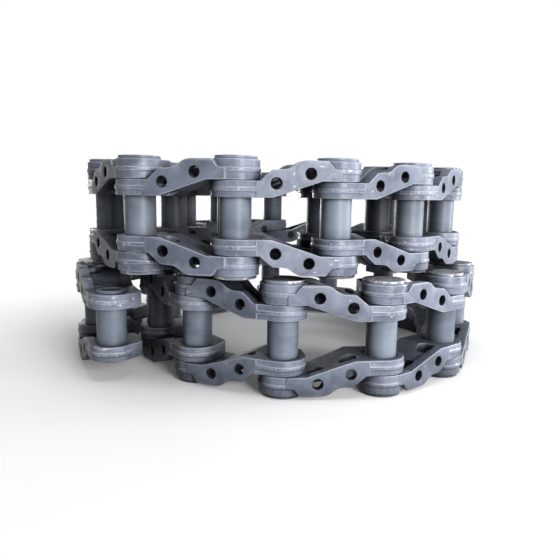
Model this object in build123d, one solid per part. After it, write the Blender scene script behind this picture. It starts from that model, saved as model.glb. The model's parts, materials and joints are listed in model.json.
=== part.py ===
from build123d import *
import math
import os

# Excavator track chain: two strands without shoes, each rolled up on its side into a coil,
# the second coil stacked on the first. Millimetres, +Z up. The origin is at the centre of the
# footprint, on the ground.
#
# Every link is the same. In the link's own frame the bushing's centre is the origin, +X runs
# towards the pin, +Y runs out to the face that carries the shoe, and Z is along the pin.

# Joint
PITCH = 190.0
PIN_RADIUS = 19.0
PIN_LENGTH = 220.0
PIN_CHAMFER = 2.0
BUSHING_RADIUS = 29.5
BUSHING_LENGTH = 143.0
PIN_CLEARANCE = 0.08

# Seal ring in the counterbore, between the bushing's end and the pin eye
SEAL_THICKNESS = 4.0
SEAL_WALL = 7.0
SEAL_CLEARANCE = 0.3

# Link plate, heights from the middle of the chain
BUSHING_EYE_IN = 37.0
BUSHING_EYE_WIDTH = 29.5
SIDE_CLEARANCE = 1.0
PIN_EYE_WIDTH = 36.0
COUNTERBORE_CLEARANCE = 1.5

# Link plate, seen from the side
SHOE_HEIGHT = 47.0
RAIL_HEIGHT = 57.0
EYE_RADIUS = 46.0
PIN_BOSS_RADIUS = 40.0
RAIL_OVERHANG = 14.0
FACE_START = 32.0
FACE_SHORT_OF_PIN = 4.0
STRUT_DEPTH = 20.0
RAIL_DEPTH = 22.0

# Link plate, seen from the shoe side
INNER_CRANK_START = 60.0
WEB_CRANK_END = 138.0
SHOULDER_START = 62.0
SHOULDER_END = 78.0
SHOULDER_HEIGHT = 87.0
SHOULDER_DIP = 1.0
FACE_CRANK_END = 122.0
TONGUE_LENGTH = 14.0
TONGUE_WIDTH = 20.0
NOTCH_LENGTH = 25.0
NOTCH_SLOPE = 2.5
WEB_RECESS = 8.0

# Forging marks on the eyes: a trimmed flash line at mid-width stands proud of the skin, and so
# do the machined faces
FLASH_WIDTH = 7.0
FLASH_PROUD = 1.5

# Shoe bolts and the windows that hold their nuts
BOLT_HOLE_RADIUS = 10.25
BOLT_START = 67.0
BOLT_SPACING = 62.0
BOLTS_ACROSS_BUSHING_END = 124.4
BOLTS_ACROSS_PIN_END = 160.4
WINDOW_WIDTH = 34.0
WINDOW_DEPTH = 32.0

# Coils: the bend at each joint in degrees, from the outer end of the strand to its inner end
LOWER_BENDS = (24, 25, 24, 25, 25, 26, 27, 27, 27, 27, 33, 31, 30, 29)
UPPER_BENDS = (26, 42, 25, 21, 23, 28, 31, 32, 33, 36, 32, 25, 48, 43, 38, 37)

# The lower coil's front link lies square to the view. The upper coil's front link starts at
# this offset from that link's pin, and is turned by this many degrees.
LOWER_FRONT_NUMBER = 12
UPPER_FRONT_NUMBER = 4
UPPER_OFFSET_X = -90.0
UPPER_OFFSET_Y = 11.5
UPPER_FRONT_HEADING = 5.0

# The innermost links of the upper coil are kept as one sub-part each
PLAIN_FROM_NUMBER = 14

bushing_eye_out = BUSHING_EYE_IN + BUSHING_EYE_WIDTH
pin_eye_in = bushing_eye_out + SIDE_CLEARANCE
pin_eye_out = pin_eye_in + PIN_EYE_WIDTH
boss_out = PIN_LENGTH / 2
half_width = max(boss_out, pin_eye_out)
beyond = 2 * half_width
bushing_end = BUSHING_LENGTH / 2
seal_in = bushing_end + SEAL_CLEARANCE
counterbore_floor = seal_in + SEAL_THICKNESS
counterbore_radius = BUSHING_RADIUS + COUNTERBORE_CLEARANCE
strut_under = SHOE_HEIGHT - STRUT_DEPTH
rail_top = RAIL_DEPTH - RAIL_HEIGHT
skin_radius = EYE_RADIUS - FLASH_PROUD
face_end = PITCH - FACE_SHORT_OF_PIN
# Where the links swing past each other: the rail's corner sweeps the widest circle about a
# joint, and above the strut's underside the round eyes do
rail_reach = math.hypot(RAIL_OVERHANG, RAIL_HEIGHT) + SIDE_CLEARANCE
eye_reach = math.sqrt((EYE_RADIUS + SIDE_CLEARANCE) ** 2 - strut_under**2)
bolt_places = (
    (BOLT_START, BOLTS_ACROSS_BUSHING_END / 2),
    (BOLT_START + BOLT_SPACING, BOLTS_ACROSS_PIN_END / 2),
)


def extruded_between(sketch, low, high):
    """The sketch on XY, made solid from one height to another."""
    return Pos(0, 0, low) * extrude(sketch, high - low)


def flank_point():
    """Where the flank from the rail's corner touches the eye about the origin."""
    corner_distance = math.hypot(RAIL_OVERHANG, RAIL_HEIGHT)
    corner_angle = math.atan2(-RAIL_HEIGHT, -RAIL_OVERHANG)
    angle = corner_angle - math.acos(skin_radius / corner_distance)
    return skin_radius * math.cos(angle), skin_radius * math.sin(angle)


def side_blank():
    """The plate from the side: two round eyes joined by the shoe strut and the roller rail."""
    flank_x, flank_y = flank_point()
    body = make_face(
        Polyline(
            (0, skin_radius),
            (FACE_START, SHOE_HEIGHT - FLASH_PROUD),
            (FACE_START, SHOE_HEIGHT),
            (face_end, SHOE_HEIGHT),
            (face_end, SHOE_HEIGHT - FLASH_PROUD),
            (PITCH, skin_radius),
            (PITCH - flank_x, flank_y),
            (PITCH + RAIL_OVERHANG, -RAIL_HEIGHT),
            (-RAIL_OVERHANG, -RAIL_HEIGHT),
            (flank_x, flank_y),
            close=True,
        )
    )
    eyes = Circle(skin_radius) + Pos(PITCH, 0) * Circle(skin_radius)
    return extruded_between(body + eyes, BUSHING_EYE_IN, pin_eye_out)


def crank_curve(start, end):
    """An S-shaped edge of two equal arcs that leaves both ends along X."""
    middle = ((start[0] + end[0]) / 2, (start[1] + end[1]) / 2)
    return [TangentArc(start, middle, tangent=(1, 0)), TangentArc(end, middle, tangent=(-1, 0))]


def across_height(outline, low, high):
    """An outline drawn in X and height, made solid between two distances towards the shoe."""
    face = make_face(outline)
    return extrude(Plane.XZ.offset(-high) * face, high - low)


def web_blank():
    """The plate from the shoe side: it cranks outwards from the bushing eye to the pin eye."""
    far = PITCH + 2 * EYE_RADIUS
    outline = [
        Polyline(
            (rail_reach, bushing_eye_out),
            (-far, bushing_eye_out),
            (-far, BUSHING_EYE_IN),
            (INNER_CRANK_START, BUSHING_EYE_IN),
            (PITCH - rail_reach, pin_eye_in),
            (far, pin_eye_in),
            (far, pin_eye_out),
            (WEB_CRANK_END, pin_eye_out),
        ),
        *crank_curve((rail_reach, bushing_eye_out), (WEB_CRANK_END, pin_eye_out)),
    ]
    return across_height(outline, -RAIL_HEIGHT, SHOE_HEIGHT)


def web_pocket():
    """The hollow on the outer side, between the eyes, the strut and the roller rail."""
    bushing_side = bushing_eye_out - WEB_RECESS
    pin_side = pin_eye_out - WEB_RECESS
    outline = [
        Polyline(
            (rail_reach, bushing_side),
            (0, bushing_side),
            (0, beyond),
            (PITCH, beyond),
            (PITCH, pin_side),
            (WEB_CRANK_END, pin_side),
        ),
        *crank_curve((rail_reach, bushing_side), (WEB_CRANK_END, pin_side)),
    ]
    eyes = Circle(skin_radius) + Pos(PITCH, 0) * Circle(skin_radius)
    return across_height(outline, rail_top, strut_under) - extruded_between(eyes, 0, beyond)


def shoe_face_blank():
    """The strut under the shoe: wider than the web, with a shoulder, ending in a tongue."""
    outline = [
        Polyline(
            (SHOULDER_END, SHOULDER_HEIGHT),
            (SHOULDER_START, SHOULDER_HEIGHT - SHOULDER_DIP),
            (eye_reach, bushing_eye_out),
            (FACE_START, bushing_eye_out),
            (FACE_START, BUSHING_EYE_IN),
            (INNER_CRANK_START, BUSHING_EYE_IN),
            (PITCH - eye_reach, pin_eye_in),
            (face_end, pin_eye_in),
            (face_end, pin_eye_out),
            (FACE_CRANK_END, pin_eye_out),
        ),
        *crank_curve((SHOULDER_END, SHOULDER_HEIGHT), (FACE_CRANK_END, pin_eye_out)),
    ]
    return across_height(outline, strut_under, SHOE_HEIGHT)


def tongue_notch():
    """What is cut off the strut's outer corner, above the pin eye, to leave the tongue."""
    tongue = pin_eye_in + TONGUE_WIDTH
    outline = Polyline(
        (face_end, tongue),
        (face_end - TONGUE_LENGTH, tongue + NOTCH_SLOPE),
        (face_end - NOTCH_LENGTH, pin_eye_out),
        (face_end - NOTCH_LENGTH, beyond),
        (PITCH + EYE_RADIUS, beyond),
        (PITCH + EYE_RADIUS, tongue),
        close=True,
    )
    return across_height(outline, strut_under, SHOE_HEIGHT)


def eyes_with_flash():
    """Both round eyes, each with its band of flash at mid-width."""
    bushing_middle = BUSHING_EYE_IN + BUSHING_EYE_WIDTH / 2
    pin_middle = pin_eye_in + PIN_EYE_WIDTH / 2
    wedge = Polyline((0, 0), (0, EYE_RADIUS), (FACE_START, SHOE_HEIGHT), (FACE_START, 0), close=True)
    bushing_band = Circle(EYE_RADIUS) + make_face(wedge)
    pin_eye = Pos(PITCH, 0) * Circle(skin_radius)
    pin_band = Pos(PITCH, 0) * Circle(EYE_RADIUS)
    half = FLASH_WIDTH / 2
    return [
        extruded_between(bushing_band, bushing_middle - half, bushing_middle + half),
        extruded_between(pin_eye, pin_eye_in, pin_eye_out),
        extruded_between(pin_band, pin_middle - half, pin_middle + half),
    ]


def nut_window():
    """The arched opening under a bolt hole: a flat seat for the nut and a round bottom."""
    radius = WINDOW_WIDTH / 2
    arch = Pos(0, strut_under - WINDOW_DEPTH + radius) * Circle(radius)
    seat = Pos(0, strut_under - (WINDOW_DEPTH - radius) / 2) * Rectangle(
        WINDOW_WIDTH, WINDOW_DEPTH - radius
    )
    return extruded_between(arch + seat, 0, beyond)


def link_plate():
    """The link plate on the +Z side."""
    plate = side_blank() & web_blank()
    plate -= web_pocket()
    plate += shoe_face_blank()
    plate -= tongue_notch()
    plate += eyes_with_flash()
    boss = Pos(PITCH, 0) * Circle(PIN_BOSS_RADIUS)
    plate += extruded_between(boss, pin_eye_in, boss_out)
    plate -= extruded_between(Circle(BUSHING_RADIUS), 0, beyond)
    plate -= extruded_between(Pos(PITCH, 0) * Circle(PIN_RADIUS), 0, beyond)
    plate -= extruded_between(Pos(PITCH, 0) * Circle(counterbore_radius), 0, counterbore_floor)
    for bolt_x, bolt_z in bolt_places:
        plate -= Pos(bolt_x, 0) * nut_window()
        hole = Pos(bolt_x, SHOE_HEIGHT, bolt_z) * Rot(90, 0, 0)
        plate -= hole * Cylinder(BOLT_HOLE_RADIUS, 2 * STRUT_DEPTH)
    return plate


def bushing():
    """The bushing, pressed into both plates and free to turn on the last link's pin."""
    return Cylinder(BUSHING_RADIUS, BUSHING_LENGTH) - Cylinder(
        PIN_RADIUS + PIN_CLEARANCE, BUSHING_LENGTH
    )


def pin():
    """The pin, pressed into both plates with its ends flush with the bosses."""
    body = Cylinder(PIN_RADIUS, PIN_LENGTH)
    body = chamfer(body.edges().filter_by(GeomType.CIRCLE), PIN_CHAMFER)
    return Pos(PITCH, 0) * body


def seal_ring():
    """The seal ring on the +Z side, resting on the floor of the counterbore."""
    bore = PIN_RADIUS + SEAL_CLEARANCE
    ring = Circle(bore + SEAL_WALL) - Circle(bore)
    return extruded_between(Pos(PITCH, 0) * ring, seal_in, counterbore_floor)


def walk(heading, bends, side):
    """The headings and starts of links that follow each other from the origin.

    side is 1 where the strand bends left and -1 where it bends right.
    """
    x = 0.0
    y = 0.0
    places = []
    for bend in (0, *bends):
        heading += side * bend
        places.append((x, y, heading))
        x += PITCH * math.cos(math.radians(heading))
        y += PITCH * math.sin(math.radians(heading))
    return places


def coil(bends, side, front_number, front_heading, front_x, front_y):
    """The place of each link of a coil: X and Y of its bushing, and its heading in degrees."""
    first_heading = front_heading - side * sum(bends[: front_number - 1])
    places = walk(first_heading, bends, side)
    shift_x = front_x - places[front_number - 1][0]
    shift_y = front_y - places[front_number - 1][1]
    return [(x + shift_x, y + shift_y, heading) for x, y, heading in places]


lower_height = half_width
upper_height = lower_height + 2 * half_width
lower_links = coil(LOWER_BENDS, -1, LOWER_FRONT_NUMBER, 180.0, 0.0, 0.0)
upper_links = coil(
    UPPER_BENDS,
    1,
    UPPER_FRONT_NUMBER,
    UPPER_FRONT_HEADING,
    UPPER_OFFSET_X - PITCH,
    UPPER_OFFSET_Y,
)


def set_down(place, height, face_down):
    """The location of a link of a coil; the upper coil's links are turned over."""
    x, y, heading = place
    return Pos(x, y, height) * Rot(0, 0, heading) * Rot(180 if face_down else 0, 0, 0)


def pieces_of_link(has_pin):
    """The separate pieces of one link, in the link's own frame, by sub-part."""
    plate = link_plate()
    pieces = {"plates": [plate, mirror(plate, Plane.XY)], "bushing_and_pin": [bushing()]}
    if has_pin:
        seal = seal_ring()
        pieces["bushing_and_pin"] += [pin(), seal, mirror(seal, Plane.XY)]
    return pieces


inner_link = pieces_of_link(True)
last_link = pieces_of_link(False)
nodes = {}
for strand, links, height, face_down in (
    ("lower", lower_links, lower_height, False),
    ("upper", upper_links, upper_height, True),
):
    for number, place in enumerate(links, 1):
        name = f"{strand}_link_{number:02d}"
        location = set_down(place, height, face_down)
        pieces = last_link if number == len(links) else inner_link
        placed = {part: [location * piece for piece in group] for part, group in pieces.items()}
        if strand == "upper" and number >= PLAIN_FROM_NUMBER:
            nodes[name] = placed["plates"] + placed["bushing_and_pin"]
        else:
            for part, group in placed.items():
                nodes[f"{name}_{part}"] = group

footprint = Compound([solid for group in nodes.values() for solid in group]).bounding_box()
to_origin = Pos(-footprint.center().X, -footprint.center().Y, 0)

os.makedirs("parts", exist_ok=True)
for name, group in nodes.items():
    export_step(Compound([to_origin * solid for solid in group]), f"parts/{name}.step")
print(len(nodes), "sub-parts, footprint", footprint.size)
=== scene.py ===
import json
import math

import bmesh
import bpy
from mathutils import Matrix, Vector
from mathutils.kdtree import KDTree

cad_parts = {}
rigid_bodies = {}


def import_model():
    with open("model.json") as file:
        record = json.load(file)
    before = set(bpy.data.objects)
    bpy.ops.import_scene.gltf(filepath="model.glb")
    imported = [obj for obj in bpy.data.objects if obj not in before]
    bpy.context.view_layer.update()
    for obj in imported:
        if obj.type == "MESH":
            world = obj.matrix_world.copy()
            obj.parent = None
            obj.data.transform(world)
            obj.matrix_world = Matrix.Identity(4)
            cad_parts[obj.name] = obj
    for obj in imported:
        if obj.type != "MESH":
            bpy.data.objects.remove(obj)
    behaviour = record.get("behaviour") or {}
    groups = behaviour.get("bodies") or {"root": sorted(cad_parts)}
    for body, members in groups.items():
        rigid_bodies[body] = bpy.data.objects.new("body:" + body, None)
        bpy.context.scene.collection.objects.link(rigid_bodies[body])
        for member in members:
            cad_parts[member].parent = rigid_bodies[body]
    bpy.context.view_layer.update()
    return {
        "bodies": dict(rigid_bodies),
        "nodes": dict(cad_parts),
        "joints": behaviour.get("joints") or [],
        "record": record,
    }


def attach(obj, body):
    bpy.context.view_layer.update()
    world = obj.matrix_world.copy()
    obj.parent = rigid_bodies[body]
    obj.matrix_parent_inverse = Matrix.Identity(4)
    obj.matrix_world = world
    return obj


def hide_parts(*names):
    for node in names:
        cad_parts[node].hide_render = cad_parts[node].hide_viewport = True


# Looks of an excavator track chain rolled up in two stacked coils: forged link plates with a
# satin blue-grey coat, milled shoe faces, and smooth bushings and pins between them.

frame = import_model()

MM = 0.001
UP = Vector((0, 0, 1))


# Places of the links

def joint_places():
    """The centre of every joint by its name, and of the four open ends by the mount's name."""
    places = {}
    for joint in frame["joints"]:
        if "pos_m" in joint:
            places[joint["name"]] = Vector(joint["pos_m"])
    for mount in frame["record"]["mounts"]:
        places[mount["name"]] = Vector(mount["pos_m"])
    return places


def link_bases():
    """For each link, the matrix from its own frame to the row frame.

    In a link's own frame the bushing's centre is the origin, X runs to the pin, Y runs out to
    the shoe face, and Z is along the pin.
    """
    places = joint_places()
    bases = {}
    for strand, along_pin in (("lower", UP), ("upper", -UP)):
        bodies = sorted(body for body in frame["bodies"] if body.startswith(strand))
        count = len(bodies)
        ends = [places[f"{strand}_master_bushing"]]
        ends += [places[f"{strand}_joint_{n:02d}_{n + 1:02d}"] for n in range(1, count)]
        ends.append(places[f"{strand}_master_pin_eyes"])
        for body, bushing_centre, pin_centre in zip(bodies, ends, ends[1:]):
            to_pin = (pin_centre - bushing_centre).normalized()
            to_shoe = along_pin.cross(to_pin)
            turn = Matrix((to_pin, to_shoe, along_pin)).transposed().to_4x4()
            bases[body] = Matrix.Translation(bushing_centre) @ turn
    return bases


BASES = link_bases()
PITCH = (joint_places()["lower_joint_11_12"] - joint_places()["lower_joint_12_13"]).length
FREE_END = BASES["lower_link_01"].translation

# Sizes of the turned pieces, in millimetres, as in the part's source
BUSHING_RADIUS = 29.5
BUSHING_BORE = 19.08
BUSHING_LENGTH = 143
BUSHING_EDGE = 1.5
PIN_RADIUS = 19
PIN_LENGTH = 220
PIN_EDGE = 2
SEAL_RADIUS = 26.3
SEAL_BORE = 19.3
SEAL_THICKNESS = 4
SEAL_CENTRE = 73.8
SEAL_EDGE = 0.8

# The plate's milled face, as its distance from the pin line, its bolt holes' radius and their
# places along X and Z, and the radii of its eyes, flash and boss
SHOE_FACE_MM = 47
BOLT_HOLE_MM = 10.25
BOLT_PLACES_MM = ((67, 62.2), (129, 80.2))
EYE_RADII_MM = (46, 44.5, 40)
# The air between the coils, taken from the ends of bosses and pins
AIR_MM = 0.05
# Where the lower coil ends and the upper one lies on it, in metres
COIL_HEIGHT = 0.22


# Colours and nodes

# Settings that many nodes share
COLOURS = {"data_type": "RGBA"}
ADD = {"operation": "ADD"}
SUBTRACT = {"operation": "SUBTRACT"}
MULTIPLY = {"operation": "MULTIPLY"}
MULTIPLY_ADD = {"operation": "MULTIPLY_ADD"}
MAXIMUM = {"operation": "MAXIMUM"}
ABSOLUTE = {"operation": "ABSOLUTE"}
DISTANCE = {"operation": "DISTANCE"}
# A colour mix's inputs: how much the upper colour covers, the colour under it, and the upper one
COVER, UNDER, OVER = 0, 6, 7


def srgb(hex_colour):
    """An sRGB hex colour as linear RGBA."""
    values = [int(hex_colour[i:i + 2], 16) / 255 for i in (0, 2, 4)]
    linear = [v / 12.92 if v <= 0.04045 else ((v + 0.055) / 1.055) ** 2.4 for v in values]
    return (*linear, 1.0)


def add_node(tree, kind, inputs=None, settings=None, stops=None):
    """Adds a node of any kind and returns its first output in use.

    inputs are numbers or other nodes' sockets by input name or index, settings are its
    properties, and stops are a ramp's (position, hex colour or grey level).
    """
    node = tree.nodes.new(kind)
    for name, value in (settings or {}).items():
        setattr(node, name, value)
    for key, value in (inputs or {}).items():
        if isinstance(value, bpy.types.NodeSocket):
            tree.links.new(value, node.inputs[key])
        else:
            node.inputs[key].default_value = value
    if stops:
        elements = node.color_ramp.elements
        while len(elements) < len(stops):
            elements.new(0.5)
        for element, (position, colour) in zip(elements, stops):
            element.position = position
            element.color = srgb(colour) if isinstance(colour, str) else (colour,) * 3 + (1.0,)
    in_use = [socket for socket in node.outputs if socket.enabled]
    return in_use[0] if in_use else node


def new_material(name):
    """An empty node material with its shader."""
    material = bpy.data.materials.new(name)
    material.use_nodes = True
    tree = material.node_tree
    tree.nodes.clear()
    shader = tree.nodes.new("ShaderNodeBsdfPrincipled")
    add_node(tree, "ShaderNodeOutputMaterial", {"Surface": shader.outputs["BSDF"]})
    return material, tree, shader


# Materials

# Coat colours, from the darkest tone to the palest, on forged and on ground steel
COAT_DARK = "565c6a"
COAT = "737a8a"
COAT_PALE = "858c9c"
GROUND_DARK = "4f5762"
GROUND = "6c7582"
GROUND_PALE = "7f8894"
# Colours of pale worn edges with a painted highlight, of scuffs, of painted shade, of dust, of a
# thin coat and a torn one
PALE_WEAR_AND_HIGHLIGHT = "c6cad5"
SCUFFED = "d6d8de"
# Near black, painted as shade in the gaps, the inner corners and the bolt bores
HOLLOW = "14171c"
DUST = "43484f"
PRIMER = "5a4f50"
BARE_STEEL = "c9c6c2"
RUST = "6e4a3c"

# Pattern sizes in millimetres, of the colour first and then of the sheen and the skin
TONE_MM = 70
SPECK_MM = 3
RUB_PATCH_MM = 40
SCUFF_MM = 9
TEAR_MM = 14
RUST_SPOT_MM = 6
DUST_PATCH_MM = 60
BUSHING_TONE_MM = 110
SHEEN_MM = 12
WAVE_MM = 10
PIT_MM = 2.2
CUTTER_MARK_MM = 2.5
STREAK_MM = 9

# How far each layer reaches, from where it starts to where it is full: in millimetres from a
# sharp edge, from an inner corner, from the coils' meeting height and from a bolt hole's wall,
# where inner corners and bolt bores get painted shade, and how far the painted gap shade looks
RUB_AND_HIGHLIGHT_REACH_MM = (1.8, 0.7)
SCUFF_REACH_MM = (8, 1)
HOLLOW_REACH_MM = (2.0, 0.6)
TORN_REACH_MM = (9, 1)
BORE_SHADE_MM = (0.9, 0.3)
GAP_REACH_MM = 160
# and in metres, from the lower strand's free end, and along X for the primer at the left
FREE_END_REACH = (0.30, 0.08)
PRIMER_X = (-0.36, -0.42)
# How open a place is, and how far up a face looks, from where painted gap shade and dust start to
# all of it
GAP_OPENNESS = (0.72, 0.32)
FACING_UP = (0.6, 0.95)

# How much each layer covers where it is full; the gap, inner corner and bore layers are painted
# shade
GAP_SHADE = 0.94
MILLED_DARKER = 0.35
HOLLOW_SHADE = 0.4
PRIMER_SHOWN = 0.8
BORE_SHADE = 0.9
DUST_COVER = 0.55
# How much more of the scuffs' and tears' noise counts near the free end, an edge, the meeting
# height, and how much less where it is milled
FREE_END_SCUFFS = 0.085
EDGE_SCUFFS = 0.03
MEETING_TEARS = 0.16
MILLED_SPARED = 0.03
# What milling leaves of the forged skin and its specks
SKIN_LEFT = 0.15

# Roughness of the coat from its glossiest to its most matt, and what milling and dust add
FORGED_ROUGHNESS = (0.27, 0.42)
GROUND_ROUGHNESS = (0.38, 0.46)
MILLED_ROUGHER = 0.1
DUST_ROUGHER = 0.4
SPECULAR_LEVEL = 0.25
# Heights of pits and cutter marks against those of the waves, and the skins' depths
PITS_SHARE = 0.22
CUTTER_SHARE = 0.012
SKIN_DEPTH_MM = 0.7
STREAK_DEPTH_MM = 0.15
# Nearly all of a noise's values lie between these
NOISE_RANGE = (0.3, 0.7)
# The wave texture has this many bands in a metre at a scale of 1
BANDS_PER_METRE = 20


def painted_gap_shade(tree, coat):
    """The coat's colour darkened by near-black painted shade where close pieces hide it from open
    air.
    """
    open_air = add_node(tree, "ShaderNodeAmbientOcclusion", {"Distance": GAP_REACH_MM * MM},
                        {"samples": 6}).node.outputs["AO"]
    gap_shade = add_node(tree, "ShaderNodeMapRange", {
        "Value": open_air, "From Min": GAP_OPENNESS[0], "From Max": GAP_OPENNESS[1],
        "To Max": GAP_SHADE})
    return add_node(tree, "ShaderNodeMix", {COVER: gap_shade, UNDER: coat, OVER: srgb(HOLLOW)}, COLOURS)


def settled_dust(tree):
    """How much dust lies on a face: all of it, in patches, where the face looks up."""
    seat = add_node(tree, "ShaderNodeTexCoord").node.outputs
    up = add_node(tree, "ShaderNodeSeparateXYZ", {"Vector": seat["Normal"]}).node.outputs["Z"]
    flat = add_node(tree, "ShaderNodeMapRange", {
        "Value": up, "From Min": FACING_UP[0], "From Max": FACING_UP[1]})
    patches = add_node(tree, "ShaderNodeTexNoise", {
        "Vector": seat["Object"], "Scale": 1 / (DUST_PATCH_MM * MM), "Detail": 5.0,
        "Roughness": 0.7})
    patches = add_node(tree, "ShaderNodeMapRange", {
        "Value": patches, "From Min": 0.3, "From Max": 0.6, "To Min": 0.6})
    return add_node(tree, "ShaderNodeMath", {0: flat, 1: patches}, MULTIPLY)


def coat_tones(tree, place, milled, forged):
    """Slow changes of tone with small pale specks, and a little darker where it is milled."""
    tone = add_node(tree, "ShaderNodeTexNoise", {
        "Vector": place, "Scale": 1 / (TONE_MM * MM), "Detail": 4.0, "Roughness": 0.6})
    coat = add_node(tree, "ShaderNodeValToRGB", {"Fac": tone}, stops=[
        (0.36, COAT_DARK), (0.5, COAT), (0.64, COAT_PALE)])
    specks = add_node(tree, "ShaderNodeTexNoise", {
        "Vector": place, "Scale": 1 / (SPECK_MM * MM), "Detail": 3.0, "Roughness": 0.7})
    specks = add_node(tree, "ShaderNodeValToRGB", {"Fac": specks}, stops=[
        (0.54, 0.0), (0.8, 0.2)])
    specks = add_node(tree, "ShaderNodeMath", {0: specks, 1: forged}, MULTIPLY)
    coat = add_node(tree, "ShaderNodeMix", {COVER: specks, UNDER: coat, OVER: srgb(PALE_WEAR_AND_HIGHLIGHT)},
                    COLOURS)
    darker = add_node(tree, "ShaderNodeMath", {0: milled, 1: MILLED_DARKER}, MULTIPLY)
    return add_node(tree, "ShaderNodeMix", {COVER: darker, UNDER: coat, OVER: srgb(COAT_DARK)},
                    COLOURS)


def rubbed_edges(tree, place, to_edge, coat):
    """Pale edges, part wear from handling and part painted highlight, and painted shade in inner
    corners.
    """
    patches = add_node(tree, "ShaderNodeTexNoise", {
        "Vector": place, "Scale": 1 / (RUB_PATCH_MM * MM), "Detail": 3.0, "Roughness": 0.6})
    patches = add_node(tree, "ShaderNodeValToRGB", {"Fac": patches}, stops=[
        (0.36, 0.3), (0.66, 0.65)])
    edge = add_node(tree, "ShaderNodeMapRange", {
        "Value": to_edge, "From Min": RUB_AND_HIGHLIGHT_REACH_MM[0] * MM, "From Max": RUB_AND_HIGHLIGHT_REACH_MM[1] * MM})
    rubbed = add_node(tree, "ShaderNodeMath", {0: edge, 1: patches}, MULTIPLY)
    coat = add_node(tree, "ShaderNodeMix", {COVER: rubbed, UNDER: coat, OVER: srgb(PALE_WEAR_AND_HIGHLIGHT)},
                    COLOURS)
    # Painted shade in the sharp inner corners
    to_hollow = add_node(tree, "ShaderNodeAttribute", settings={"attribute_name": "to_hollow"})
    hollow = add_node(tree, "ShaderNodeMapRange", {
        "Value": to_hollow.node.outputs["Fac"], "From Min": HOLLOW_REACH_MM[0] * MM,
        "From Max": HOLLOW_REACH_MM[1] * MM, "To Max": HOLLOW_SHADE})
    return add_node(tree, "ShaderNodeMix", {COVER: hollow, UNDER: coat, OVER: srgb(HOLLOW)},
                    COLOURS)


def long_scuffs(tree, place, to_edge, milled, coat):
    """Scuffs from handling, long across the link, most of them at the lower strand's free end."""
    stretched = add_node(tree, "ShaderNodeMapping", {
        "Vector": place, "Rotation": (0.4, 0.5, 0.3), "Scale": (0.12, 1.0, 1.0)})
    scuffs = add_node(tree, "ShaderNodeTexNoise", {
        "Vector": stretched, "Scale": 1 / (SCUFF_MM * MM), "Detail": 5.0, "Roughness": 0.75})
    free_end = add_node(tree, "ShaderNodeVectorMath", {
        0: place, 1: tuple(FREE_END)}, DISTANCE).node.outputs["Value"]
    near_end = add_node(tree, "ShaderNodeMapRange", {
        "Value": free_end, "From Min": FREE_END_REACH[0], "From Max": FREE_END_REACH[1],
        "To Max": FREE_END_SCUFFS})
    near_edge = add_node(tree, "ShaderNodeMapRange", {
        "Value": to_edge, "From Min": SCUFF_REACH_MM[0] * MM, "From Max": SCUFF_REACH_MM[1] * MM,
        "To Max": EDGE_SCUFFS})
    for more in (near_end, near_edge):
        scuffs = add_node(tree, "ShaderNodeMath", {0: scuffs, 1: more}, ADD)
    scuffs = add_node(tree, "ShaderNodeMath", {0: milled, 1: -MILLED_SPARED, 2: scuffs},
                      MULTIPLY_ADD)
    scuffs = add_node(tree, "ShaderNodeValToRGB", {"Fac": scuffs}, stops=[
        (0.7, 0.0), (0.74, 0.85)])
    return add_node(tree, "ShaderNodeMix", {COVER: scuffs, UNDER: coat, OVER: srgb(SCUFFED)},
                    COLOURS)


def brown_primer(tree, across, milled, coat):
    """Brown primer that shows through the thin coat of the shoe faces at the left."""
    primer = add_node(tree, "ShaderNodeMapRange", {
        "Value": across, "From Min": PRIMER_X[0], "From Max": PRIMER_X[1],
        "To Max": PRIMER_SHOWN})
    primer = add_node(tree, "ShaderNodeMath", {0: primer, 1: milled}, MULTIPLY)
    return add_node(tree, "ShaderNodeMix", {COVER: primer, UNDER: coat, OVER: srgb(PRIMER)},
                    COLOURS)


def torn_coat(tree, place, height, coat):
    """The coat torn off in patches where the upper coil has slid on the lower, with rust spots.

    How much steel is bare comes second, for the shader's metal.
    """
    from_meeting = add_node(tree, "ShaderNodeMath", {0: height, 1: COIL_HEIGHT}, SUBTRACT)
    from_meeting = add_node(tree, "ShaderNodeMath", {0: from_meeting}, ABSOLUTE)
    touching = add_node(tree, "ShaderNodeMapRange", {
        "Value": from_meeting, "From Min": TORN_REACH_MM[0] * MM,
        "From Max": TORN_REACH_MM[1] * MM, "To Max": MEETING_TEARS})
    torn = add_node(tree, "ShaderNodeMapping", {"Vector": place, "Scale": (0.35, 1.0, 1.0)})
    torn = add_node(tree, "ShaderNodeTexNoise", {
        "Vector": torn, "Scale": 1 / (TEAR_MM * MM), "Detail": 6.0, "Roughness": 0.7})
    bare = add_node(tree, "ShaderNodeMath", {0: torn, 1: touching}, ADD)
    bare = add_node(tree, "ShaderNodeValToRGB", {"Fac": bare}, stops=[(0.63, 0.0), (0.69, 0.9)])
    rust = add_node(tree, "ShaderNodeTexNoise", {
        "Vector": place, "Scale": 1 / (RUST_SPOT_MM * MM), "Detail": 4.0, "Roughness": 0.7})
    steel = add_node(tree, "ShaderNodeValToRGB", {"Fac": rust}, stops=[
        (0.5, BARE_STEEL), (0.58, RUST)])
    coat = add_node(tree, "ShaderNodeMix", {COVER: bare, UNDER: coat, OVER: steel}, COLOURS)
    return coat, bare


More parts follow.
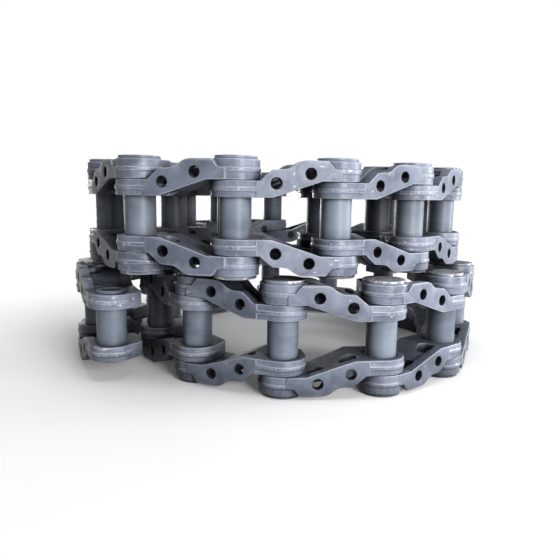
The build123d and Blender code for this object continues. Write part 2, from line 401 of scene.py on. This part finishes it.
def painted_bore_shade(tree, on_link, coat):
    """Painted shade in the bores of the bolt holes, alike on both plates of a link."""
    aside = add_node(tree, "ShaderNodeMath", {0: on_link["Z"]}, ABSOLUTE)
    bolt_plane = add_node(tree, "ShaderNodeCombineXYZ", {"X": on_link["X"], "Z": aside})
    for x, z in BOLT_PLACES_MM:
        from_bolt = add_node(tree, "ShaderNodeVectorMath", {
            0: bolt_plane, 1: (x * MM, 0, z * MM)}, DISTANCE)
        bore = add_node(tree, "ShaderNodeMapRange", {
            "Value": from_bolt.node.outputs["Value"],
            "From Min": (BOLT_HOLE_MM + BORE_SHADE_MM[0]) * MM,
            "From Max": (BOLT_HOLE_MM + BORE_SHADE_MM[1]) * MM, "To Max": BORE_SHADE})
        coat = add_node(tree, "ShaderNodeMix", {COVER: bore, UNDER: coat, OVER: srgb(HOLLOW)},
                        COLOURS)
    return coat


def satin_sheen(tree, place, milled, dust):
    """Satin that is uneven, and more matt where it is milled or dusty."""
    sheen = add_node(tree, "ShaderNodeTexNoise", {
        "Vector": place, "Scale": 1 / (SHEEN_MM * MM), "Detail": 4.0, "Roughness": 0.6})
    sheen = add_node(tree, "ShaderNodeMapRange", {
        "Value": sheen, "From Min": NOISE_RANGE[0], "From Max": NOISE_RANGE[1],
        "To Min": FORGED_ROUGHNESS[0], "To Max": FORGED_ROUGHNESS[1]})
    for layer, rougher in ((milled, MILLED_ROUGHER), (dust, DUST_ROUGHER)):
        sheen = add_node(tree, "ShaderNodeMath", {0: layer, 1: rougher, 2: sheen}, MULTIPLY_ADD)
    return sheen


def forged_skin(tree, place, link_position, milled, forged):
    """Pits on slow waves, drawn coarser than real scale so that they show, and cutter marks."""
    waves = add_node(tree, "ShaderNodeTexNoise", {
        "Vector": place, "Scale": 1 / (WAVE_MM * MM), "Detail": 3.0, "Roughness": 0.5})
    pits = add_node(tree, "ShaderNodeTexNoise", {
        "Vector": place, "Scale": 1 / (PIT_MM * MM), "Detail": 3.0, "Roughness": 0.6})
    skin = add_node(tree, "ShaderNodeMath", {0: pits, 1: PITS_SHARE, 2: waves}, MULTIPLY_ADD)
    skin = add_node(tree, "ShaderNodeMath", {0: skin, 1: forged}, MULTIPLY)
    marks = add_node(tree, "ShaderNodeTexWave", {
        "Vector": link_position, "Scale": 1 / (CUTTER_MARK_MM * MM) / BANDS_PER_METRE,
        "Distortion": 1.5, "Detail": 1.0, "Detail Scale": 0.4}, {"bands_direction": "X"})
    share = add_node(tree, "ShaderNodeMath", {0: milled, 1: CUTTER_SHARE}, MULTIPLY)
    skin = add_node(tree, "ShaderNodeMath", {0: marks, 1: share, 2: skin}, MULTIPLY_ADD)
    return add_node(tree, "ShaderNodeBump", {
        "Strength": 0.5, "Distance": SKIN_DEPTH_MM * MM, "Height": skin})


def coated_forging():
    """Drop-forged steel under a satin blue-grey coat.

    Forging leaves a fine pitted skin with slow waves, the shoe face is milled flat before it is
    coated, and handling wears the coat thin along the edges, which also carry a painted highlight.
    Painted shade darkens the inner corners, the bolt bores and the gaps between close pieces, and
    dust settles on faces that look up.
    """
    material, tree, shader = new_material("coated forged steel")
    place = add_node(tree, "ShaderNodeTexCoord").node.outputs["Object"]
    on_coil = add_node(tree, "ShaderNodeSeparateXYZ", {"Vector": place}).node.outputs
    link_position = add_node(tree, "ShaderNodeAttribute", settings={
        "attribute_name": "link_position"}).node.outputs["Vector"]
    on_link = add_node(tree, "ShaderNodeSeparateXYZ", {"Vector": link_position}).node.outputs
    to_edge = add_node(tree, "ShaderNodeAttribute", settings={
        "attribute_name": "to_edge"}).node.outputs["Fac"]
    dust = settled_dust(tree)

    # One on the milled shoe face, and one on the forged skin with a little left where it is milled
    milled = add_node(tree, "ShaderNodeMapRange", {
        "Value": on_link["Y"], "From Min": (SHOE_FACE_MM - 0.5) * MM,
        "From Max": (SHOE_FACE_MM - 0.1) * MM})
    forged = add_node(tree, "ShaderNodeMapRange", {
        "Value": milled, "To Min": 1.0, "To Max": SKIN_LEFT})

    coat = coat_tones(tree, place, milled, forged)
    coat = rubbed_edges(tree, place, to_edge, coat)
    coat = long_scuffs(tree, place, to_edge, milled, coat)
    coat = brown_primer(tree, on_coil["X"], milled, coat)
    coat, bare = torn_coat(tree, place, on_coil["Z"], coat)
    coat = painted_bore_shade(tree, on_link, coat)
    dusty = add_node(tree, "ShaderNodeMath", {0: dust, 1: DUST_COVER}, MULTIPLY)
    coat = add_node(tree, "ShaderNodeMix", {COVER: dusty, UNDER: coat, OVER: srgb(DUST)}, COLOURS)

    for layer, name in (
        (painted_gap_shade(tree, coat), "Base Color"), (bare, "Metallic"),
        (satin_sheen(tree, place, milled, dust), "Roughness"),
        (forged_skin(tree, place, link_position, milled, forged), "Normal"),
    ):
        tree.links.new(layer, shader.inputs[name])
    shader.inputs["Specular IOR Level"].default_value = SPECULAR_LEVEL
    return material


def coated_bushing():
    """Ground steel under the same coat, smoother, so that light lies in an upright band.

    Grinding leaves faint streaks that run round the bushing.
    """
    material, tree, shader = new_material("coated ground steel")
    place = add_node(tree, "ShaderNodeTexCoord").node.outputs["Object"]
    streaks = add_node(tree, "ShaderNodeMapping", {"Vector": place, "Scale": (0.2, 0.2, 1.0)})
    streaks = add_node(tree, "ShaderNodeTexNoise", {
        "Vector": streaks, "Scale": 1 / (STREAK_MM * MM), "Detail": 3.0, "Roughness": 0.5})
    tone = add_node(tree, "ShaderNodeTexNoise", {
        "Vector": place, "Scale": 1 / (BUSHING_TONE_MM * MM), "Detail": 3.0, "Roughness": 0.55})
    tone = add_node(tree, "ShaderNodeMath", {0: streaks, 1: 0.12, 2: tone}, MULTIPLY_ADD)
    coat = add_node(tree, "ShaderNodeValToRGB", {"Fac": tone}, stops=[
        (0.4, GROUND_DARK), (0.54, GROUND), (0.7, GROUND_PALE)])
    sheen = add_node(tree, "ShaderNodeMapRange", {
        "Value": streaks, "From Min": NOISE_RANGE[0], "From Max": NOISE_RANGE[1],
        "To Min": GROUND_ROUGHNESS[0], "To Max": GROUND_ROUGHNESS[1]})
    sheen = add_node(tree, "ShaderNodeMath", {
        0: settled_dust(tree), 1: DUST_ROUGHER, 2: sheen}, MULTIPLY_ADD)
    bump = add_node(tree, "ShaderNodeBump", {
        "Strength": 0.3, "Distance": STREAK_DEPTH_MM * MM, "Height": streaks})
    # The base colour gets painted shade between close pieces
    for layer, name in (
        (painted_gap_shade(tree, coat), "Base Color"), (sheen, "Roughness"), (bump, "Normal")
    ):
        tree.links.new(layer, shader.inputs[name])
    shader.inputs["Specular IOR Level"].default_value = SPECULAR_LEVEL
    return material


FORGING = coated_forging()
BUSHING = coated_bushing()


# Link plates

TEMPLATE_BODY = "lower_link_12"
TEMPLATE_NODE = f"{TEMPLATE_BODY}_plates"
# Two faces that meet at more than this make a sharp edge
SHARP = math.radians(28)
# How near an edge's end lies to a bolt hole's wall to belong to the hole
HOLE_EDGE_MM = 0.1
# How far a facet may lie inside the eyes' true radius
FACET_DEPTH_MM = 0.16
# The CAD copy's loose triangles are joined within this
JOIN_MM = 0.01
VOXEL_MM = 0.9
SMOOTH_FACTOR = 0.5
SMOOTH_PASSES = 5
TRIANGLES_KEPT = 0.085


def edge_points(shape, hollow):
    """Points 1 mm apart along the plate's sharp outer edges, or along its sharp inner corners."""
    points = []
    for edge in shape.edges:
        if len(edge.link_faces) != 2 or edge.calc_face_angle() < SHARP:
            continue
        if edge.is_convex == hollow:
            continue
        start, end = (vertex.co for vertex in edge.verts)
        if any(abs(math.hypot(start.x - x * MM, start.z - z * MM) - BOLT_HOLE_MM * MM)
               < HOLE_EDGE_MM * MM for x, z in BOLT_PLACES_MM):
            continue
        steps = max(1, round((end - start).length / MM))
        points += [start.lerp(end, step / steps) for step in range(steps + 1)]
    return points


def true_to_radius(mesh):
    """Moves the points of the eyes' facets out onto the true radius about their pin line.

    The boss also ends a hair early, so that the coils part cleanly where one turns on the other.
    """
    for vertex in mesh.vertices:
        place = vertex.co
        for across in (0, PITCH):
            from_axis = math.hypot(place.x - across, place.y)
            for radius in EYE_RADII_MM:
                if abs(from_axis - radius * MM) < FACET_DEPTH_MM * MM:
                    grow = radius * MM / from_axis
                    place.x = across + (place.x - across) * grow
                    place.y *= grow
        place.z = min(place.z, (PIN_LENGTH / 2 - AIR_MM) * MM)


def nearest(points):
    """A search tree over points."""
    tree = KDTree(len(points))
    for number, point in enumerate(points):
        tree.insert(point, number)
    tree.balance()
    return tree


def evaluated_mesh(piece):
    """What an object's modifiers make, as a plain mesh."""
    graph = bpy.context.evaluated_depsgraph_get()
    return bpy.data.meshes.new_from_object(piece.evaluated_get(graph))


def rounded_plate():
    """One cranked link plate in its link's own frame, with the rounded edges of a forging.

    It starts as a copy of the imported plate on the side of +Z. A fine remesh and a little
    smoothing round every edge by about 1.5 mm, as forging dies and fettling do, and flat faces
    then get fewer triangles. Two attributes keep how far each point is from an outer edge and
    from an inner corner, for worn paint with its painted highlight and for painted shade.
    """
    mesh = frame["nodes"][TEMPLATE_NODE].data.copy()
    mesh.materials.clear()
    mesh.transform(BASES[TEMPLATE_BODY].inverted())
    shape = bmesh.new()
    shape.from_mesh(mesh)
    bmesh.ops.remove_doubles(shape, verts=shape.verts, dist=JOIN_MM * MM)
    other_side = [vertex for vertex in shape.verts if vertex.co.z < 0]
    bmesh.ops.delete(shape, geom=other_side, context="VERTS")
    outer, inner = nearest(edge_points(shape, False)), nearest(edge_points(shape, True))
    shape.to_mesh(mesh)
    shape.free()
    piece = bpy.data.objects.new("plate_template", mesh)
    bpy.context.scene.collection.objects.link(piece)
    remesh = piece.modifiers.new("remesh", "REMESH")
    remesh.mode = "VOXEL"
    remesh.voxel_size = VOXEL_MM * MM
    piece.data = evaluated_mesh(piece)
    piece.modifiers.clear()
    true_to_radius(piece.data)
    smooth = piece.modifiers.new("smooth", "SMOOTH")
    smooth.factor = SMOOTH_FACTOR
    smooth.iterations = SMOOTH_PASSES
    fewer = piece.modifiers.new("fewer triangles", "DECIMATE")
    fewer.ratio = TRIANGLES_KEPT
    plate = evaluated_mesh(piece)
    bpy.data.objects.remove(piece)
    for name, tree in (("to_edge", outer), ("to_hollow", inner)):
        distances = [tree.find(vertex.co)[2] for vertex in plate.vertices]
        plate.attributes.new(name, "FLOAT", "POINT").data.foreach_set("value", distances)
    return plate


# Geometry Nodes trees for the links

PLACE_SOCKETS = [
    ("Joint centre", "NodeSocketVector"), ("Turn", "NodeSocketVector"),
    ("Finish", "NodeSocketMaterial"),
]
# The turned pieces' sizes in metres, by the tree's input names
TURNED_SIZES = {
    "Bushing radius": BUSHING_RADIUS * MM, "Bushing bore": BUSHING_BORE * MM,
    "Bushing length": BUSHING_LENGTH * MM, "Bushing edge": BUSHING_EDGE * MM,
    "Pin radius": PIN_RADIUS * MM, "Pin length": (PIN_LENGTH - 2 * AIR_MM) * MM,
    "Pin edge": PIN_EDGE * MM, "Seal radius": SEAL_RADIUS * MM, "Seal bore": SEAL_BORE * MM,
    "Seal thickness": SEAL_THICKNESS * MM, "Seal centre": SEAL_CENTRE * MM,
    "Seal edge": SEAL_EDGE * MM, "Pitch": PITCH,
}
TURNED_SIDES = 96
# Points of a turned ring closer than this, in metres, become one
RING_MERGE = 1e-5


def new_tree(name, sockets):
    """An empty tree with named inputs, and its input sockets and output node."""
    tree = bpy.data.node_groups.new(name, "GeometryNodeTree")
    for socket_name, kind in sockets:
        tree.interface.new_socket(name=socket_name, in_out="INPUT", socket_type=kind)
    tree.interface.new_socket(name="Pieces", in_out="OUTPUT", socket_type="NodeSocketGeometry")
    group_input = tree.nodes.new("NodeGroupInput")
    group_output = tree.nodes.new("NodeGroupOutput")
    return tree, group_input.outputs, group_output


def placed(tree, shape, given, group_output):
    """Keeps each point's place on its link, then turns the link into its place on the coil."""
    position = add_node(tree, "GeometryNodeInputPosition")
    shape = add_node(tree, "GeometryNodeStoreNamedAttribute", {
        "Geometry": shape, "Name": "link_position", "Value": position,
    }, {"data_type": "FLOAT_VECTOR", "domain": "POINT"})
    shape = add_node(tree, "GeometryNodeTransform", {
        "Geometry": shape, "Translation": given["Joint centre"], "Rotation": given["Turn"]})
    shape = add_node(tree, "GeometryNodeRealizeInstances", {"Geometry": shape})
    shape = add_node(tree, "GeometryNodeSetMaterial", {
        "Geometry": shape, "Material": given["Finish"]})
    tree.links.new(shape, group_output.inputs["Pieces"])


def plates_tree():
    """The plate given and its mirror image across the strand's middle plane."""
    tree, given, group_output = new_tree(
        "pair of link plates", [("Plate", "NodeSocketGeometry")] + PLACE_SOCKETS)
    other = add_node(tree, "GeometryNodeTransform", {
        "Geometry": given["Plate"], "Scale": (1, 1, -1)})
    other = add_node(tree, "GeometryNodeFlipFaces", {"Mesh": other})
    both = tree.nodes.new("GeometryNodeJoinGeometry")
    for side in (given["Plate"], other):
        tree.links.new(side, both.inputs["Geometry"])
    placed(tree, both.outputs["Geometry"], given, group_output)
    return tree


def turned_ring(tree, given, outside, inside, length, edge):
    """A ring turned about Z with chamfered edges, or a solid round where inside is nothing."""
    wall = add_node(tree, "ShaderNodeMath", {0: outside, 1: inside}, SUBTRACT)
    middle = add_node(tree, "ShaderNodeMath", {0: outside, 1: inside}, ADD)
    middle = add_node(tree, "ShaderNodeMath", {0: middle, 1: 0.5}, MULTIPLY)
    section = add_node(tree, "GeometryNodeCurvePrimitiveQuadrilateral", {
        "Width": wall, "Height": length})
    section = add_node(tree, "GeometryNodeFilletCurve", {
        "Curve": section, "Radius": edge, "Limit Radius": True, "Count": 1}, {"mode": "POLY"})
    circle = add_node(tree, "GeometryNodeCurvePrimitiveCircle", {
        "Resolution": given["Sides"], "Radius": middle})
    ring = add_node(tree, "GeometryNodeCurveToMesh", {"Curve": circle, "Profile Curve": section})
    return add_node(tree, "GeometryNodeMergeByDistance", {
        "Geometry": ring, "Distance": RING_MERGE})


def turned_tree():
    """A link's bushing, and at its other end its pin with a seal ring on each side."""
    sockets = [("Geometry", "NodeSocketGeometry"), ("Sides", "NodeSocketInt"),
               ("With pin", "NodeSocketBool")]
    sockets += [(name, "NodeSocketFloat") for name in TURNED_SIZES]
    tree, given, group_output = new_tree("bushing, pin and seals", sockets + PLACE_SOCKETS)
    bushing = turned_ring(tree, given, given["Bushing radius"], given["Bushing bore"],
                          given["Bushing length"], given["Bushing edge"])
    pin = turned_ring(tree, given, given["Pin radius"], 0.0, given["Pin length"],
                      given["Pin edge"])
    seal = turned_ring(tree, given, given["Seal radius"], given["Seal bore"],
                       given["Seal thickness"], given["Seal edge"])
    at_pin = tree.nodes.new("GeometryNodeJoinGeometry")
    tree.links.new(pin, at_pin.inputs["Geometry"])
    below = add_node(tree, "ShaderNodeMath", {0: given["Seal centre"], 1: -1.0}, MULTIPLY)
    for height in (given["Seal centre"], below):
        lifted = add_node(tree, "GeometryNodeTransform", {
            "Geometry": seal,
            "Translation": add_node(tree, "ShaderNodeCombineXYZ", {"Z": height})})
        tree.links.new(lifted, at_pin.inputs["Geometry"])
    moved = add_node(tree, "GeometryNodeTransform", {
        "Geometry": at_pin.outputs["Geometry"],
        "Translation": add_node(tree, "ShaderNodeCombineXYZ", {"X": given["Pitch"]})})
    kept = add_node(tree, "GeometryNodeSwitch", {
        "Switch": given["With pin"], "True": moved}, {"input_type": "GEOMETRY"})
    everything = tree.nodes.new("GeometryNodeJoinGeometry")
    for part in (bushing, kept):
        tree.links.new(part, everything.inputs["Geometry"])
    placed(tree, everything.outputs["Geometry"], given, group_output)
    return tree


def made_from(tree, name, mesh, values):
    """Runs a tree on a mesh with these named inputs and keeps the result as a plain piece."""
    piece = bpy.data.objects.new(name, mesh)
    bpy.context.scene.collection.objects.link(piece)
    modifier = piece.modifiers.new("maker", "NODES")
    modifier.node_group = tree
    for socket in tree.interface.items_tree:
        if socket.in_out == "INPUT" and socket.name in values:
            modifier[socket.identifier] = values[socket.name]
    result = evaluated_mesh(piece)
    piece.modifiers.clear()
    piece.data = result
    return piece


# The finished pieces of every link; the last link of a strand has no pin

LAST_LINKS = [
    max(body for body in frame["bodies"] if body.startswith(strand))
    for strand in ("lower", "upper")
]
PLATE = rounded_plate()
PLATES_TREE = plates_tree()
TURNED_TREE = turned_tree()

for body, members in frame["record"]["behaviour"]["bodies"].items():
    base = BASES[body]
    where = {"Joint centre": base.translation, "Turn": base.to_euler()}
    plates = made_from(PLATES_TREE, f"{body}_link_plates", PLATE, {**where, "Finish": FORGING})
    plates.data.shade_smooth()
    turned = made_from(
        TURNED_TREE, f"{body}_turned_pieces", bpy.data.meshes.new("empty"),
        {**TURNED_SIZES, **where, "Sides": TURNED_SIDES, "Finish": BUSHING,
         "With pin": body not in LAST_LINKS},
    )
    turned.data.shade_smooth()
    turned.data.set_sharp_from_angle(angle=SHARP)
    for piece, slot, ending in (
        (plates, "link_plate", "_plates"), (turned, "bushing_and_pin", "_bushing_and_pin")
    ):
        # A hidden inner link is one node, which both of its pieces stand for
        own = [member for member in members if member.endswith(ending)] or members
        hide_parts(*own)
        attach(piece, body)


# Floor, lamps and camera

WHITE = "ffffff"
FLOOR = "f0f0f0"
# For light that reaches the coils by way of the floor
FLOOR_BOUNCE = "303030"
FLOOR_SIZE = 60
# Distances from the middle, in metres, between which the floor's own glow grows from the first
# strength to the second, and between which the floor runs out into white
GLOW_REACH = (0.3, 0.6)
GLOW = (0.02, 0.2)
RUN_OUT_REACH = (0.45, 1.1)
SOFT_LIGHT = "f4f7ff"
SOFT_LIGHT_STRENGTH = 0.035
# Each lamp's name, place and target, its width and height in metres, and its watts
LAMPS = (
    ("key", (1.0, -2.6, 0.55), (0, 0, 0.2), 1.1, 1.4, 108),
    ("side", (2.4, -1.4, 0.85), (0, 0, 0.22), 0.8, 1.4, 14),
    ("right", (2.9, -0.1, 0.6), (0, 0, 0.22), 0.7, 1.2, 50),
    ("top", (0.4, -0.9, 2.6), (0, 0, 0.2), 1.4, 1.4, 24),
    ("back", (-0.9, 2.7, 0.5), (0, 0, 0.22), 2.2, 0.8, 80),
)

# The photograph's camera, worked out from the pins, bushings and bolt holes
FOCAL_PIXELS = 552.9
FRAME_PIXELS = 560
SENSOR_MM = 36.0
CAMERA_PITCH = math.radians(8.83)
CAMERA_ROLL = math.radians(1.036)
CAMERA_YAW = math.radians(-6.0)
# From the front lower link's bushing, in metres: to the side, and towards the viewer
CAMERA_SIDE = -0.196
CAMERA_BACK = -1.0322
CAMERA_ABOVE_UPPER_LINKS = 0.0439
# The nearest and farthest that it sees, in metres
CAMERA_CLIP = (0.05, 100)


def seen_directly(tree):
    """One for rays from the camera and for those that gloss or glass send on, else nothing."""
    path = add_node(tree, "ShaderNodeLightPath").node.outputs
    direct = add_node(tree, "ShaderNodeMath", {
        0: path["Is Camera Ray"], 1: path["Is Glossy Ray"]}, MAXIMUM)
    return add_node(tree, "ShaderNodeMath", {
        0: direct, 1: path["Is Transmission Ray"]}, MAXIMUM)


def floor():
    """A plain pale floor that keeps the coils' shadow and runs out into white."""
    bpy.ops.mesh.primitive_plane_add(size=FLOOR_SIZE)
    plane = bpy.context.object
    plane.name = "floor"
    material = bpy.data.materials.new("pale floor")
    material.use_nodes = True
    tree = material.node_tree
    tree.nodes.clear()
    matt = add_node(tree, "ShaderNodeBsdfDiffuse", {"Color": srgb(FLOOR)})
    place = add_node(tree, "ShaderNodeTexCoord").node.outputs["Object"]
    away = add_node(tree, "ShaderNodeVectorMath", {0: place}, {"operation": "LENGTH"})
    away = away.node.outputs["Value"]
    glow = add_node(tree, "ShaderNodeMapRange", {
        "Value": away, "From Min": GLOW_REACH[0], "From Max": GLOW_REACH[1],
        "To Min": GLOW[0], "To Max": GLOW[1]})
    glow = add_node(tree, "ShaderNodeEmission", {"Color": srgb(WHITE), "Strength": glow})
    near = add_node(tree, "ShaderNodeAddShader", {0: matt, 1: glow})
    white = add_node(tree, "ShaderNodeEmission", {"Color": srgb(WHITE), "Strength": 1.0})
    run_out = add_node(tree, "ShaderNodeMapRange", {
        "Value": away, "From Min": RUN_OUT_REACH[0], "From Max": RUN_OUT_REACH[1],
    }, {"interpolation_type": "SMOOTHSTEP"})
    shown = add_node(tree, "ShaderNodeMixShader", {0: run_out, 1: near, 2: white})
    bounce = add_node(tree, "ShaderNodeBsdfDiffuse", {"Color": srgb(FLOOR_BOUNCE)})
    both = add_node(tree, "ShaderNodeMixShader", {0: seen_directly(tree), 1: bounce, 2: shown})
    add_node(tree, "ShaderNodeOutputMaterial", {"Surface": both})
    plane.data.materials.append(material)


def lamp(name, place, target, width, height, watts):
    """A soft lamp of this size in metres that looks at a point."""
    data = bpy.data.lights.new(name, "AREA")
    data.shape = "RECTANGLE"
    data.size = width
    data.size_y = height
    data.energy = watts
    lamp_object = bpy.data.objects.new(name, data)
    bpy.context.scene.collection.objects.link(lamp_object)
    lamp_object.location = place
    lamp_object.rotation_mode = "QUATERNION"
    lamp_object.rotation_quaternion = (Vector(target) - Vector(place)).to_track_quat("-Z", "Y")


def surroundings():
    """White where it is seen, and a dimmer soft light on the coils."""
    world = bpy.data.worlds.new("studio")
    bpy.context.scene.world = world
    world.use_nodes = True
    tree = world.node_tree
    tree.nodes.clear()
    dim = add_node(tree, "ShaderNodeBackground", {
        "Color": srgb(SOFT_LIGHT), "Strength": SOFT_LIGHT_STRENGTH})
    white = add_node(tree, "ShaderNodeBackground", {"Color": srgb(WHITE), "Strength": 1.0})
    both = add_node(tree, "ShaderNodeMixShader", {0: seen_directly(tree), 1: dim, 2: white})
    add_node(tree, "ShaderNodeOutputWorld", {"Surface": both})


def camera():
    """The camera at the photograph's viewing angle."""
    turn = Matrix.Rotation(CAMERA_YAW, 3, "Z")
    start = BASES["lower_link_12"].translation
    place = turn @ Vector((CAMERA_SIDE, CAMERA_BACK, 0)) + start
    place.z = BASES["upper_link_04"].translation.z + CAMERA_ABOVE_UPPER_LINKS
    ahead = turn @ Vector((0, math.cos(CAMERA_PITCH), -math.sin(CAMERA_PITCH)))
    right = turn @ Vector((1, 0, 0))
    above = right.cross(ahead)
    right, above = (
        right * math.cos(CAMERA_ROLL) + above * math.sin(CAMERA_ROLL),
        above * math.cos(CAMERA_ROLL) - right * math.sin(CAMERA_ROLL),
    )
    data = bpy.data.cameras.new("camera")
    data.sensor_width = SENSOR_MM
    data.lens = SENSOR_MM * FOCAL_PIXELS / FRAME_PIXELS
    data.clip_start, data.clip_end = CAMERA_CLIP
    camera_object = bpy.data.objects.new("camera", data)
    bpy.context.scene.collection.objects.link(camera_object)
    camera_object.matrix_world = (
        Matrix.Translation(place) @ Matrix((right, above, -ahead)).transposed().to_4x4()
    )
    bpy.context.scene.camera = camera_object


floor()
surroundings()
for lamp_values in LAMPS:
    lamp(*lamp_values)
camera()
bpy.context.scene.view_settings.view_transform = "Standard"
